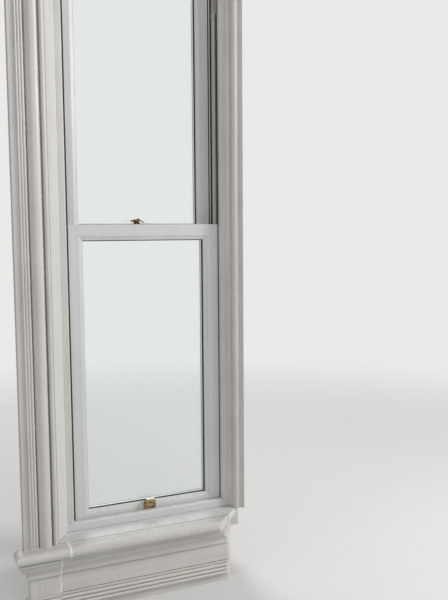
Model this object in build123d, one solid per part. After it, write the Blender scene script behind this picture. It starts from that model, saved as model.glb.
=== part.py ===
from build123d import *
import os
from math import radians, sqrt, tan

# A double-hung timber sash window with its frame and its room-side trim, in millimetres.
# X runs along the wall, Y goes outward and Z is up. X = 0 is the middle of the sashes,
# Y = 0 is the room face of the lower sash and Z = 0 is the underside of the sill.

# Sashes
sash_width = 514.0
sash_height = 978.0
sash_thick = 45.0
stile_body = 45.0
top_rail_body = 45.0
bottom_rail_body = 61.0
meeting_rail_height = 49.5
meeting_lean = 2.2
meeting_gap = 0.6
lip_clear = 2.5
seal_width = 5.0
seal_depth = 3.0
arris = 1.0
back_round = 3.0
travel = 780.0

# Glazing
bead_width = 12.0
bead_setback = 1.2
bead_slope = 4.0
glass_front = 14.0
pane_thick = 4.0
pane_gap = 12.0
gasket_thick = 2.0
gasket_show = 0.8
glass_cover = 9.0
spacer_inset = 2.0
spacer_show = 2.5

# Sill and clearances
sill_height = 72.0
sill_seat = 51.5
sill_slope = 6.0
sill_fall = 8.0
sill_nose = 160.0
drip_width = 6.0
closing_gap = 0.5
side_gap = 2.0
head_gap = 3.0
seal_gap = 3.0
bead_gap = 1.0
outer_gap = 1.5
touch_gap = 0.3
seal_clear = 0.1

# Frame
jamb_thick = 32.0
staff_cover = 7.5
staff_width = 21.0
staff_depth = 16.0
bottom_bead_height = 28.0
staff_round = 5.0
bottom_bead_round = 7.0
lining_round = 3.0
parting_thick = 8.0
parting_cover = 15.0
parting_housing = 8.0
parting_round = 3.0
pile_cover = 2.0
pile_cover_left = 7.0
pile_width = 6.0
pile_inset = 2.5
outer_cover = 13.0
outer_thick = 20.0
frame_edge = 20.0

# Room-side trim
reveal_depth = 59.0
reveal_splay = 40.5
reveal_thick = 16.0
step_width = 20.0
step_rise = 16.0
step_chamfer = 3.0
arch_reed_count = 3
arch_reed_width = 8.0
arch_reed_base = 18.0
arch_reed_rise = 3.5
quirk_width = 4.0
quirk_floor = 12.0
torus_width = 36.0
torus_base = 15.0
torus_crest = 26.0
torus_drop = 18.0
inner_quirk = 5.0
arch_bead_width = 14.0
arch_bead_crest = 22.0
arch_lip = 3.0
architrave_clear = 4.0
board_thick = 22.0
board_depth = 73.0
tongue_depth = 8.0
tongue_thick = 6.0
nosing_thick = 32.0
nosing_flat = 36.0
nosing_end = 26.0
nosing_joint = 26.0
post_leg = 42.5
apron_face = 95.0
apron_depth = 190.0
plinth_width = 93.0
plinth_proud = 6.0
board_horn = 5.0
bed_height = 60.0
bed_projection = 29.0
bed_fillet = 12.0
bed_foot = 5.0
reed_drop = 120.0
reed_count = 3
reed_width = 13.0
reed_back = 7.0
reed_rise = 5.0
reed_fillet = 5.0

# Spiral balances
tube_radius = 8.0
tube_bore = 6.5
tube_plug = 25.0
tube_stand_off = 0.5
tube_clear = 5.0
rod_radius = 3.5
rod_engaged = 20.0
rod_clear = 5.0
foot_height = 40.0
foot_above = 5.0
groove_width = 20.0
groove_clear = 1.5

# Fittings
lift_width = 42.0
lift_height = 36.0
lift_plate = 2.5
lift_shoulder = 17.0
lift_above_bead = 1.0
lift_screw_height = 8.0
lift_screw_spread = 15.5
hood_width = 30.0
hood_height = 14.0
hood_reach = 20.0
hood_wall = 2.5
fastener_length = 50.0
fastener_depth = 22.0
fastener_plate = 2.5
fastener_shift = 5.0
boss_radius = 6.5
boss_top_radius = 6.0
boss_height = 9.0
pivot_x = -11.0
pivot_y = 36.0
pivot_radius = 2.5
pivot_head = 4.2
pivot_fit = 0.05
arm_reach = 20.0
arm_width = 9.0
arm_crank = 9.5
arm_tip = 4.0
arm_crown = 18.0
arm_flat = 16.8
thumb_reach = 20.5
thumb_radius = 4.2
keeper_length = 28.0
keeper_plate = 2.0
keeper_roof = 3.0
keeper_roof_width = 16.0
keeper_screw_spread = 11.0
screw_radius = 1.8
screw_head = 3.6
screw_sunk = 1.5
screw_length = 14.0
screw_sides = 16
shank_sides = 8

# Places that follow from the sizes
x_sash = sash_width / 2
x_jamb = x_sash + side_gap
x_staff = x_jamb - staff_cover
x_trim = x_staff + staff_width
x_frame = x_jamb + jamb_thick + frame_edge
x_timber = x_sash - stile_body
x_sight = x_timber - bead_width
y_staff_back = -seal_gap
y_staff_front = y_staff_back - staff_depth
y_parting = sash_thick + bead_gap
y_upper = y_parting + parting_thick + bead_gap
y_outer = y_upper + sash_thick + outer_gap
y_wall = y_staff_front - reveal_depth
rebate = glass_front + 2 * pane_thick + pane_gap + gasket_thick
seat_rise = tan(radians(sill_slope))

z_lower = sill_seat + closing_gap
z_meeting = z_lower + sash_height
z_upper = z_meeting - meeting_rail_height
z_top = z_upper + sash_height
z_head = z_top + head_gap
z_bottom_bead = sill_height + bottom_bead_height
z_staff = z_head - staff_cover
z_trim = z_staff + staff_width
z_arch = z_trim + reveal_splay
z_frame = z_head + jamb_thick + frame_edge

architrave_width = (step_width + arch_reed_count * arch_reed_width + quirk_width + torus_width
                    + inner_quirk + arch_bead_width + arch_lip)
x_arch = -(x_trim + reveal_splay)
x_arch_out = x_arch - architrave_width
y_board = y_staff_front - board_depth
y_nose = y_board - nosing_flat
z_nosing = sill_height - nosing_thick
z_apron = z_nosing - apron_depth
mitre_offset = x_trim + post_leg - y_staff_front
x_groove = x_jamb - tube_stand_off - 2 * tube_radius - groove_clear
tube_length = travel + rod_engaged + rod_clear + tube_plug

parts = {}


def face_of(points, rounds=None):
    """A flat face from corner points, with some corners rounded."""
    flat = make_face(Polyline(*points, close=True).edges())
    for corner, radius in (rounds or {}).items():
        nearest = flat.vertices().sort_by_distance(Vector(*points[corner]))[0]
        flat = fillet(nearest, radius)
    return flat


def upright(section, low, high):
    """A plan section (x, y) run up from one level to another."""
    return Pos(0, 0, low) * extrude(section, amount=high - low, dir=(0, 0, 1))


def across(section, left, right):
    """A side section (y, z) run along the wall."""
    return Pos(left, 0, 0) * extrude(Plane.YZ * section, amount=right - left, dir=(1, 0, 0))


def outward(section, front, back):
    """An elevation (x, z) run from a front plane to a back plane."""
    return Pos(0, front, 0) * extrude(Plane.XZ * section, amount=back - front, dir=(0, 1, 0))


def block(left, right, front, back, low, high):
    """A straight board given by its six faces."""
    size = Box(right - left, back - front, high - low)
    return Pos((left + right) / 2, (front + back) / 2, (low + high) / 2) * size


def mirrored(points, side):
    return [(side * x, y) for x, y in points]


def rod(x, y, z, radius, length, direction):
    """A round bar that starts at a point and runs along a direction."""
    return extrude(Plane((x, y, z), z_dir=direction) * Circle(radius), amount=length)


def shank(x, y, z, length, direction):
    """The hidden part of a screw, with few faces."""
    return extrude(Plane((x, y, z), z_dir=direction) * RegularPolygon(screw_radius, shank_sides),
                   amount=length)


def sunk_screw(x, y, z, direction):
    """A sunk screw: its head's flat top lies at the point given, and the shank follows."""
    outline = Plane((x, y, z), z_dir=direction) * RegularPolygon(screw_head, screw_sides)
    return extrude(outline, amount=screw_sunk) + shank(x, y, z, screw_length, direction)


# Sill: one weathered piece with a flat inner top, a sunk seat for the lower sash, a fall to
# the outer nose with a drip under it, and a groove at the front for the window board's tongue.
def seat_level(y):
    return sill_seat - y * seat_rise


tongue_low = sill_height - board_thick / 2 - tongue_thick / 2
tongue_back = y_staff_front + tongue_depth
sill_step = sash_thick + bead_gap + parting_thick / 2
sill_section = face_of([
    (y_staff_front, 0), (y_staff_front, tongue_low), (tongue_back, tongue_low),
    (tongue_back, tongue_low + tongue_thick), (y_staff_front, tongue_low + tongue_thick),
    (y_staff_front, sill_height), (y_staff_back, sill_height),
    (y_staff_back, seat_level(y_staff_back)), (sill_step, seat_level(sill_step)),
    (sill_step, seat_level(sill_step) - sill_fall),
    (sill_nose, seat_level(sill_nose) - sill_fall), (sill_nose, 0),
    (sill_nose - drip_width, 0), (sill_nose - drip_width, drip_width),
    (sill_nose - 2 * drip_width, drip_width), (sill_nose - 2 * drip_width, 0)],
    {10: lining_round})
parts["sill"] = across(sill_section, -x_frame, x_frame)
sill = parts["sill"]

# Jambs and head: solid boards that the sashes slide between. Each jamb is grooved for its
# parting bead, and its foot is cut to the sill's slope.
for side, name in ((-1, "left"), (1, "right")):
    bead_section = face_of(mirrored([
        (x_jamb - parting_cover, y_parting), (x_jamb + parting_housing, y_parting),
        (x_jamb + parting_housing, y_parting + parting_thick),
        (x_jamb - parting_cover, y_parting + parting_thick)], side),
        {0: parting_round, 3: parting_round})
    parting = upright(bead_section, 0, z_head) - sill
    jamb_section = face_of(mirrored([
        (x_jamb, y_staff_back), (x_jamb, y_outer), (x_jamb + jamb_thick, y_outer),
        (x_jamb + jamb_thick, y_staff_back)], side))
    parts["jamb_" + name] = upright(jamb_section, 0, z_head) - sill - parting
    parts["parting_bead_" + name] = parting
parts["head"] = block(-x_jamb - jamb_thick, x_jamb + jamb_thick, y_staff_back, y_outer,
                      z_head, z_head + jamb_thick)

# Outer linings: boards on the outside of the jambs and head, which stop the upper sash.
z_outer_stop = z_head - outer_cover
for side, name in ((-1, "left"), (1, "right")):
    section = face_of(mirrored([
        (x_jamb - outer_cover, y_outer), (x_frame, y_outer), (x_frame, y_outer + outer_thick),
        (x_jamb - outer_cover, y_outer + outer_thick)], side), {3: lining_round})
    parts["outer_lining_" + name] = upright(section, 0, z_outer_stop) - sill
parts["outer_lining_head"] = across(face_of([
    (y_outer, z_outer_stop), (y_outer + outer_thick, z_outer_stop),
    (y_outer + outer_thick, z_frame), (y_outer, z_frame)], {1: lining_round}), -x_frame, x_frame)

# Inner linings: boards on the room side of the jambs and head, behind the trim.
for side, name in ((-1, "left"), (1, "right")):
    section = face_of(mirrored([
        (x_trim, y_staff_front), (x_frame, y_staff_front), (x_frame, y_staff_back),
        (x_trim, y_staff_back)], side))
    parts["inner_lining_" + name] = upright(section, sill_height, z_trim)
parts["inner_lining_head"] = block(-x_frame, x_frame, y_staff_front, y_staff_back,
                                   z_trim, z_frame)

# Staff beads: the removable beads that hold the lower sash in, mitred at the head and
# standing on the taller bottom bead.
head_mitre = face_of([
    (-x_trim, z_bottom_bead), (-x_trim, z_trim), (-x_staff, z_staff), (-x_staff, z_bottom_bead)])
for side, name in ((-1, "left"), (1, "right")):
    section = face_of(mirrored([
        (x_staff, y_staff_front), (x_trim, y_staff_front), (x_trim, y_staff_back),
        (x_staff, y_staff_back)], side), {0: staff_round})
    cut = outward(head_mitre, y_staff_front, y_staff_back)
    if side > 0:
        cut = mirror(cut, Plane.YZ)
    parts["staff_bead_" + name] = upright(section, z_bottom_bead, z_trim) & cut
head_shape = face_of([
    (-x_staff, z_staff), (-x_trim, z_trim), (x_trim, z_trim), (x_staff, z_staff)])
parts["staff_bead_head"] = across(face_of([
    (y_staff_front, z_staff), (y_staff_front, z_trim), (y_staff_back, z_trim),
    (y_staff_back, z_staff)], {0: staff_round}), -x_trim, x_trim) & outward(
    head_shape, y_staff_front, y_staff_back)
parts["bottom_bead"] = across(face_of([
    (y_staff_front, sill_height), (y_staff_front, z_bottom_bead),
    (y_staff_back, z_bottom_bead), (y_staff_back, sill_height)],
    {1: bottom_bead_round, 2: arris}),
    -x_trim, x_trim)

# Brush seals: pile strips on the backs of the staff beads and on both faces of the parting
# beads, which the sashes slide along.
staff_piles = []
parting_piles = []


def pile_strip(start, end, front, back, side, low):
    strip = face_of(mirrored([(start, front), (end, front), (end, back), (start, back)], side))
    return upright(strip, low, z_staff)


y_parting_back = y_parting + parting_thick
for side in (-1, 1):
    start = x_staff - (pile_cover_left if side < 0 else pile_cover)
    staff_piles.append(pile_strip(
        start, x_staff + pile_inset, y_staff_back, -touch_gap, side, z_bottom_bead))
    start = x_jamb - parting_cover + pile_cover
    parting_piles.append(pile_strip(
        start, start + pile_width, sash_thick + touch_gap, y_parting, side, sill_height))
    start = x_jamb - parting_cover - pile_inset
    parting_piles.append(pile_strip(
        start, start + pile_width, y_parting_back, y_upper - touch_gap, side, sill_height))
parts["staff_bead_seals"] = staff_piles
parts["parting_bead_seals"] = parting_piles

# Spiral balances: a tube on each jamb for each sash, open at its foot and screwed to the jamb
# through its solid top. The rod in it hangs from a foot in the groove of the sash's stile.
x_tube = x_jamb - tube_stand_off - tube_radius
y_tube = sash_thick / 2
foot_top = foot_above + foot_height
lower_tube_z = z_lower + foot_top + travel + tube_clear
upper_tube_z = z_upper + foot_top + tube_clear
tube_head = 1.0
tubes = []
tube_screws = []
for front, low in ((0, lower_tube_z), (y_upper, upper_tube_z)):
    for side in (-1, 1):
        tube = rod(side * x_tube, front + y_tube, low, tube_radius, tube_length, (0, 0, 1))
        tube -= rod(
            side * x_tube, front + y_tube, low, tube_bore, tube_length - tube_plug, (0, 0, 1))
        screw_z = low + tube_length - tube_plug / 2
        screw_x = x_tube - tube_radius - tube_head
        screw = extrude(Plane((side * screw_x, front + y_tube, screw_z), z_dir=(side, 0, 0))
                        * RegularPolygon(screw_head, screw_sides), amount=1.5 * tube_head)
        screw += shank(side * (screw_x + tube_head), front + y_tube, screw_z,
                       2 * tube_radius + screw_length, (side, 0, 0))
        tubes.append(tube - screw)
        tube_screws.append(screw)
        jamb = "jamb_left" if side < 0 else "jamb_right"
        parts[jamb] -= screw
parts["balance_tubes"] = tubes
parts["balance_screws"] = tube_screws


# Stiles: L-shaped in plan, with the rebate for the glass on the inner side and the balance's
# groove in the outer edge.
def stile(side, front, low, high):
    groove_low = y_tube - groove_width / 2
    groove_high = y_tube + groove_width / 2
    points = [
        (x_sash, 0), (x_timber, 0), (x_timber, rebate), (x_sight, rebate), (x_sight, sash_thick),
        (x_sash, sash_thick), (x_sash, groove_high), (x_groove, groove_high),
        (x_groove, groove_low), (x_sash, groove_low)]
    points = [(x, front + y) for x, y in points]
    section = face_of(mirrored(points, side), {0: arris, 1: arris, 4: back_round})
    return upright(section, low, high)


# Glazing beads: mitred at the corners, set back a little from the face and sloped to the glass.
def bead_points(outer, inner, front):
    sign = 1 if inner > outer else -1
    return [
        (outer, front + bead_setback), (inner - sign, front + bead_setback + bead_slope),
        (inner, front + bead_setback + bead_slope + 1), (inner, front + glass_front - gasket_thick),
        (outer, front + glass_front - gasket_thick)]


def glazing_beads(front, low, high, bottom_bead):
    """Beads round an opening in the timber that runs from one level to another."""
    back = front + glass_front
    sight_low = low + bead_width if bottom_bead else low
    sight_high = high - bead_width
    beads = []
    for side in (-1, 1):
        bar = upright(face_of(bead_points(side * x_timber, side * x_sight, front)), low, high)
        shape = face_of(mirrored([
            (x_timber, low), (x_timber, high), (x_sight, sight_high), (x_sight, sight_low)], side))
        beads.append(bar & outward(shape, front, back))
    top_section = face_of([(y, z) for z, y in bead_points(high, sight_high, front)])
    top_shape = face_of([
        (-x_timber, high), (x_timber, high), (x_sight, sight_high), (-x_sight, sight_high)])
    beads.append(across(top_section, -x_timber, x_timber) & outward(top_shape, front, back))
    if bottom_bead:
        low_section = face_of([(y, z) for z, y in bead_points(low, sight_low, front)])
        low_shape = face_of([
            (-x_timber, low), (x_timber, low), (x_sight, sight_low), (-x_sight, sight_low)])
        beads.append(across(low_section, -x_timber, x_timber) & outward(low_shape, front, back))
    return beads


def ring(x_out, x_in, front, back, low, high, wall_low, wall_high):
    """A flat rectangular ring: the space between the panes or between a pane and the timber."""
    hole = block(-x_in, x_in, front - 1, back + 1, low + wall_low, high - wall_high)
    return block(-x_out, x_out, front, back, low, high) - hole


def glazing(prefix, front, sight_low, sight_high, low_cover):
    """Two panes, the spacer between them and the two gaskets, for one sash."""
    x_glass = x_sight + glass_cover
    low = sight_low - low_cover
    high = sight_high + glass_cover
    inner = front + glass_front
    outer = inner + pane_thick + pane_gap
    parts[prefix + "panes"] = [
        block(-x_glass, x_glass, face, face + pane_thick, low, high) for face in (inner, outer)]
    wall = glass_cover - spacer_inset + spacer_show
    parts[prefix + "spacer"] = ring(
        x_glass - spacer_inset, x_sight - spacer_show, inner + pane_thick, outer,
        low + spacer_inset, high - spacer_inset, low_cover - spacer_inset + spacer_show, wall)
    parts[prefix + "gaskets"] = [
        ring(x_glass, x_sight - gasket_show, face, face + gasket_thick, low, high,
             low_cover + gasket_show, glass_cover + gasket_show)
        for face in (inner - gasket_thick, outer + pane_thick)]


# Lower sash: two stiles, a deep bottom rail bevelled to the sill, and a meeting rail whose
# sloping back lip closes against the upper sash's.
lower_timber = z_lower + bottom_rail_body
lower_sight = lower_timber + bead_width
meeting_timber = z_upper + bead_width
meeting_middle = y_parting + parting_thick / 2
x_lip = x_jamb - parting_cover - pile_inset - lip_clear
sash_foot = across(face_of([
    (-1, 0), (sash_thick + 1, 0), (sash_thick + 1, seat_level(sash_thick + 1) + closing_gap),
    (-1, seat_level(-1) + closing_gap)]), -x_sash - 1, x_sash + 1)
lower_stiles = [stile(side, 0, z_lower - 10, z_meeting) - sash_foot for side in (-1, 1)]
parts["lower_stile_left"], parts["lower_stile_right"] = lower_stiles
lower_meeting = across(face_of([
    (0, meeting_timber), (0, z_meeting), (meeting_middle + meeting_lean - meeting_gap, z_meeting),
    (meeting_middle - meeting_lean - meeting_gap, z_upper), (rebate, z_upper),
    (rebate, meeting_timber)], {0: arris, 1: arris, 2: arris}), -x_lip, x_lip)
lower_bottom = across(face_of([
    (0, lower_timber), (0, z_lower - 10), (sash_thick, z_lower - 10), (sash_thick, lower_sight),
    (rebate, lower_sight), (rebate, lower_timber)], {0: arris}), -x_timber, x_timber)
for timber in lower_stiles:
    lower_meeting -= timber
    lower_bottom -= timber
parts["lower_bottom_rail"] = lower_bottom - sash_foot
parts["lower_glazing_beads"] = glazing_beads(0, lower_timber, meeting_timber, True)
glazing("lower_", 0, lower_sight, z_upper, glass_cover)

# Meeting rail seal: a pile strip let into the back of the lower meeting rail.
seal_z = (z_meeting + z_upper) / 2
seal_y = meeting_middle - meeting_gap
seal = block(-x_sight, x_sight, seal_y - seal_depth, seal_y + meeting_gap - touch_gap - seal_clear,
             seal_z - seal_width / 2, seal_z + seal_width / 2)
lower_meeting -= seal
parts["meeting_rail_seal"] = seal

# Upper sash: stiles and a top rail with beads, and a meeting rail with a groove in its top
# that holds the glass.
upper_timber = z_top - top_rail_body
upper_sight = upper_timber - bead_width
glass_groove = 12.0
upper_stiles = [stile(side, y_upper, z_upper, z_top) for side in (-1, 1)]
parts["upper_stile_left"], parts["upper_stile_right"] = upper_stiles
upper_meeting = across(face_of([
    (meeting_middle + meeting_lean, z_meeting), (meeting_middle - meeting_lean, z_upper),
    (y_upper + sash_thick, z_upper), (y_upper + sash_thick, z_meeting),
    (y_upper + rebate, z_meeting), (y_upper + rebate, z_meeting - glass_groove),
    (y_upper + glass_front - gasket_thick, z_meeting - glass_groove),
    (y_upper + glass_front - gasket_thick, z_meeting)], {0: arris, 3: back_round}), -x_lip, x_lip)
upper_top = across(face_of([
    (y_upper, upper_timber), (y_upper, z_top), (y_upper + sash_thick, z_top),
    (y_upper + sash_thick, upper_sight), (y_upper + rebate, upper_sight),
    (y_upper + rebate, upper_timber)], {0: arris}), -x_timber, x_timber)
for timber in upper_stiles:
    upper_meeting -= timber
    upper_top -= timber
parts["upper_top_rail"] = upper_top
parts["upper_glazing_beads"] = glazing_beads(y_upper, z_meeting, upper_timber, False)
glazing("upper_", y_upper, z_meeting, upper_sight, glass_groove - gasket_thick)


# Balance rods: the spiral rod of each balance, with the foot that is screwed in the groove.
def balance_rods(front, low, rod_top):
    rods = []
    for side in (-1, 1):
        foot = block(min(side * x_groove, side * (x_tube + rod_radius)),
                     max(side * x_groove, side * (x_tube + rod_radius)),
                     front + y_tube - rod_radius * 2, front + y_tube + rod_radius * 2,
                     low + foot_above, low + foot_top)
        shaft = rod(side * x_tube, front + y_tube, low + foot_height, rod_radius,
                    rod_top - low - foot_height, (0, 0, 1))
        rods.append(foot + shaft)
    return rods


parts["lower_balance_rods"] = balance_rods(0, z_lower, lower_tube_z + rod_engaged)
parts["upper_balance_rods"] = balance_rods(y_upper, z_upper, upper_tube_z + travel + rod_engaged)

# Sash lift: a cast plate on the bottom rail, with a hood that the fingers go up into.
lift_low = z_bottom_bead + lift_above_bead
lift_top = lift_low + lift_height
hood_low = lift_top - hood_height
hood_half = hood_width / 2
hood_springing = 3.0
hood_crown = 1.0
hood_front = -hood_reach
hood_inside = hood_front + hood_wall
lift_section = make_face([
    Line((0, lift_low), (-lift_plate, lift_low)),
    Line((-lift_plate, lift_low), (-lift_plate, hood_low + lift_plate * 2)),
    ThreePointArc((-lift_plate, hood_low + lift_plate * 2),
                  (hood_inside * 0.52, lift_top - hood_crown - hood_wall), (hood_inside, hood_low)),
    Line((hood_inside, hood_low), (hood_front, hood_low)),
    ThreePointArc((hood_front, hood_low), (hood_front * 0.52, lift_top - hood_crown),
                  (0, lift_top - hood_springing)),
    Line((0, lift_top - hood_springing), (0, lift_low))])
hood = across(lift_section, -hood_half, hood_half)
plate_round = 4.0
plate_high = lift_top - hood_height / 2
plate_shape = face_of([
    (-lift_width / 2, lift_low), (-lift_width / 2, lift_low + lift_shoulder),
    (-hood_half, plate_high), (hood_half, plate_high),
    (lift_width / 2, lift_low + lift_shoulder), (lift_width / 2, lift_low)],
    {0: plate_round, 1: plate_round, 4: plate_round, 5: plate_round})
lift = hood + outward(plate_shape, -lift_plate, 0)
lift_screws = [
    sunk_screw(side * lift_screw_spread, -lift_plate, lift_low + lift_screw_height, (0, 1, 0))
    for side in (-1, 1)]
for screw in lift_screws:
    lift -= screw
    parts["lower_bottom_rail"] -= screw
parts["sash_lift"] = lift

# Fastener base: a plate with rounded ends on the lower meeting rail, and the boss that the
# arm turns on.
base_top = z_meeting + fastener_plate
boss_top = z_meeting + boss_height
base = Pos(fastener_shift, pivot_y, z_meeting) * extrude(
    SlotOverall(fastener_length, fastener_depth), fastener_plate)
base += Pos(pivot_x, pivot_y, (base_top + boss_top) / 2) * Cone(
    boss_radius, boss_top_radius, boss_top - base_top)
pivot_low = 0.5
pivot_cap = 2.0
pivot_neck = 2.4
cap_low = z_meeting + arm_flat + touch_gap
pivot = rod(pivot_x, pivot_y, z_meeting + pivot_low, pivot_radius,
            cap_low - z_meeting - pivot_low, (0, 0, 1))
pivot += Pos(pivot_x, pivot_y, cap_low + pivot_cap / 2) * Cone(pivot_head, pivot_neck, pivot_cap)
screw_places = (fastener_shift - 1, fastener_shift + fastener_length / 2 - screw_head - 4)
base_screws = [sunk_screw(x, pivot_y, base_top, (0, 0, -1)) for x in screw_places]
for screw in base_screws:
    base -= screw
    lower_meeting -= screw
parts["fastener_base"] = base - pivot
parts["fastener_pivot"] = pivot
parts["lower_meeting_rail"] = lower_meeting
parts["lower_sash_screws"] = lift_screws + base_screws

# Fastener arm: an arched lever. Its thumb end stands out past the base, and its other end is
# cranked down to slide under the keeper when the arm is turned across the rails.
knee = arm_reach - 8.0
tip_low = arm_crank - arm_tip
arm_profile = make_face([
    ThreePointArc((-thumb_reach - 1.5, 12), (-3, arm_crown), (knee, arm_crown - 3.5)),
    Line((knee, arm_crown - 3.5), (knee + 2.5, arm_crank)),
    Line((knee + 2.5, arm_crank), (arm_reach, arm_crank)),
    Line((arm_reach, arm_crank), (arm_reach, tip_low)),
    Line((arm_reach, tip_low), (knee, tip_low)),
    Line((knee, tip_low), (knee - 3.5, arm_crown - 6.8)),
    ThreePointArc((knee - 3.5, arm_crown - 6.8), (-3, arm_crown - 5.5), (-thumb_reach + 2.5, 8.5)),
    Line((-thumb_reach + 2.5, 8.5), (-thumb_reach - 1.5, 12))])
thumb_roll = Pos(-thumb_reach, 10.6) * Circle(thumb_radius)
arm = Pos(pivot_x, pivot_y, z_meeting) * outward(
    arm_profile + thumb_roll, -arm_width / 2, arm_width / 2)
collar_low = boss_top + touch_gap
collar_top = z_meeting + arm_flat
arm_collar = rod(pivot_x, pivot_y, collar_low, boss_radius, collar_top - collar_low, (0, 0, 1))
arm_bore = rod(pivot_x, pivot_y, z_meeting, pivot_radius + pivot_fit, 2 * arm_crown, (0, 0, 1))
arm_trim = rod(pivot_x, pivot_y, collar_top, boss_radius + 1.5, arm_crown, (0, 0, 1))
parts["fastener_arm"] = arm + arm_collar - arm_bore - arm_trim

# Keeper: a plate on the upper meeting rail with a roof that the arm's cranked end slides under.
keeper_front = meeting_middle + meeting_lean + 1.0
keeper_back = y_upper + glass_front - gasket_thick - 1.0
roof_low = arm_crank + touch_gap + 0.2
roof_top = roof_low + keeper_roof
wall_foot = keeper_back - 3.0
wall_face = wall_foot - 4.0
keeper_section = face_of([
    (keeper_front, 0), (keeper_back, 0), (keeper_back, keeper_plate),
    (wall_foot, keeper_plate), (wall_foot - 2, roof_top), (keeper_front + 1, roof_top),
    (keeper_front + 1, roof_low), (wall_face, roof_low), (wall_face, keeper_plate),
    (keeper_front, keeper_plate)],
    {4: 2, 5: 1})
keeper = Pos(pivot_x, 0, z_meeting) * across(keeper_section, -keeper_length / 2, keeper_length / 2)
roof_trim = block(pivot_x - keeper_length, pivot_x - keeper_roof_width / 2,
                  0, y_upper + sash_thick, z_meeting + keeper_plate, z_meeting + 2 * roof_top)
keeper -= roof_trim
keeper -= mirror(roof_trim, Plane.YZ.offset(pivot_x))
keeper_mid = (keeper_front + keeper_back) / 2
keeper_screws = [
    sunk_screw(pivot_x + side * keeper_screw_spread, keeper_mid, z_meeting + keeper_plate, (0, 0, -1))
    for side in (-1, 1)]
for screw in keeper_screws:
    keeper -= screw
    upper_meeting -= screw
parts["keeper"] = keeper
parts["upper_meeting_rail"] = upper_meeting
parts["keeper_screws"] = keeper_screws

# The corner of the room is square, so every trim piece that runs to the right ends in a mitre.
right_end = mitre_offset + y_staff_front


def mitred_right(piece):
    reach = board_depth + nosing_flat + nosing_thick + post_leg
    plan = face_of([
        (right_end, y_staff_front), (right_end - reach, y_staff_front - reach),
        (right_end + reach, y_staff_front - reach), (right_end + reach, y_staff_front)])
    return piece - upright(plan, z_apron - 1, z_arch + architrave_width + 1)


# Window board: tongued into the sill, with a horn that runs on under the architrave.
board_low = sill_height - board_thick
board_section = face_of([
    (y_board, board_low), (y_board, sill_height), (y_staff_front, sill_height),
    (y_staff_front, tongue_low + tongue_thick), (tongue_back, tongue_low + tongue_thick),
    (tongue_back, tongue_low), (y_staff_front, tongue_low), (y_staff_front, board_low)], {1: 1})
x_horn = x_arch_out - board_horn
x_reveal_back = x_arch - reveal_thick
board_plan = face_of([
    (x_reveal_back, tongue_back), (x_reveal_back, y_wall), (x_horn, y_wall), (x_horn, y_board),
    (x_frame, y_board), (x_frame, tongue_back)])
board = across(board_section, x_horn, x_frame) & upright(board_plan, board_low, sill_height)
parts["window_board"] = mitred_right(board)


# Nosing: a half-round front edge in two lengths. The left one is returned round the end.
def nosing_profile(face, sign):
    """The nosing's section, with its flat back at the face and its nose towards sign."""
    edge = face + sign * nosing_flat
    return make_face([
        Line((face, z_nosing), (face, sill_height - 1)),
        Line((face, sill_height - 1), (face + sign, sill_height)),
        Line((face + sign, sill_height), (edge, sill_height)),
        ThreePointArc((edge, sill_height), (edge + sign * nosing_thick / 2, sill_height - nosing_thick / 2),
                      (edge, z_nosing)),
        Line((edge, z_nosing), (face, z_nosing))])


x_joint = x_arch + nosing_joint
x_end = x_arch_out - nosing_end
nosing_out = nosing_flat + nosing_thick / 2
y_front = y_board - nosing_out
nosing_run = across(nosing_profile(y_board, -1), x_end - nosing_thick, x_frame)
nosing_cut = block(x_end - 2 * nosing_thick, x_joint, y_front - 1, y_board + 1,
                   z_nosing - 1, sill_height + 1)
parts["nosing"] = mitred_right(nosing_run - nosing_cut)
front_plan = face_of([
    (x_end, y_front), (x_joint, y_front), (x_joint, y_board), (x_end + nosing_out, y_board)])
side_plan = face_of([
    (x_end, y_front), (x_end + nosing_out, y_board), (x_end + nosing_out, y_wall), (x_end, y_wall)])


def end_profile(back):
    """The returned end's section, from its rounded edge back to a line along the wall's depth."""
    edge = x_end + nosing_thick / 2
    return make_face([
        Line((back, z_nosing), (back, sill_height)),
        Line((back, sill_height), (edge, sill_height)),
        ThreePointArc((edge, sill_height), (x_end, sill_height - nosing_thick / 2), (edge, z_nosing)),
        Line((edge, z_nosing), (back, z_nosing))])


front_part = nosing_run & upright(front_plan, z_nosing, sill_height)
side_part = outward(end_profile(x_end + nosing_out), y_front, y_board)
side_part &= upright(side_plan, z_nosing, sill_height)
back_part = outward(end_profile(x_horn), y_board, y_wall)
parts["nosing_return"] = front_part + side_part + back_part

# Apron and plinth block: flat boards under the nosing. The plinth block carries the
# architrave's line down and stands a little proud.
x_plinth_left = x_arch - plinth_width
plinth_face = apron_face + plinth_proud


def apron_section(face):
    return face_of([
        (y_wall, z_apron), (-face, z_apron), (-face, z_nosing), (y_board, z_nosing),
        (y_board, board_low), (y_wall, board_low)])


parts["apron"] = mitred_right(across(apron_section(apron_face), x_arch, x_frame))
parts["plinth_block"] = across(apron_section(plinth_face), x_plinth_left, x_arch)


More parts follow.
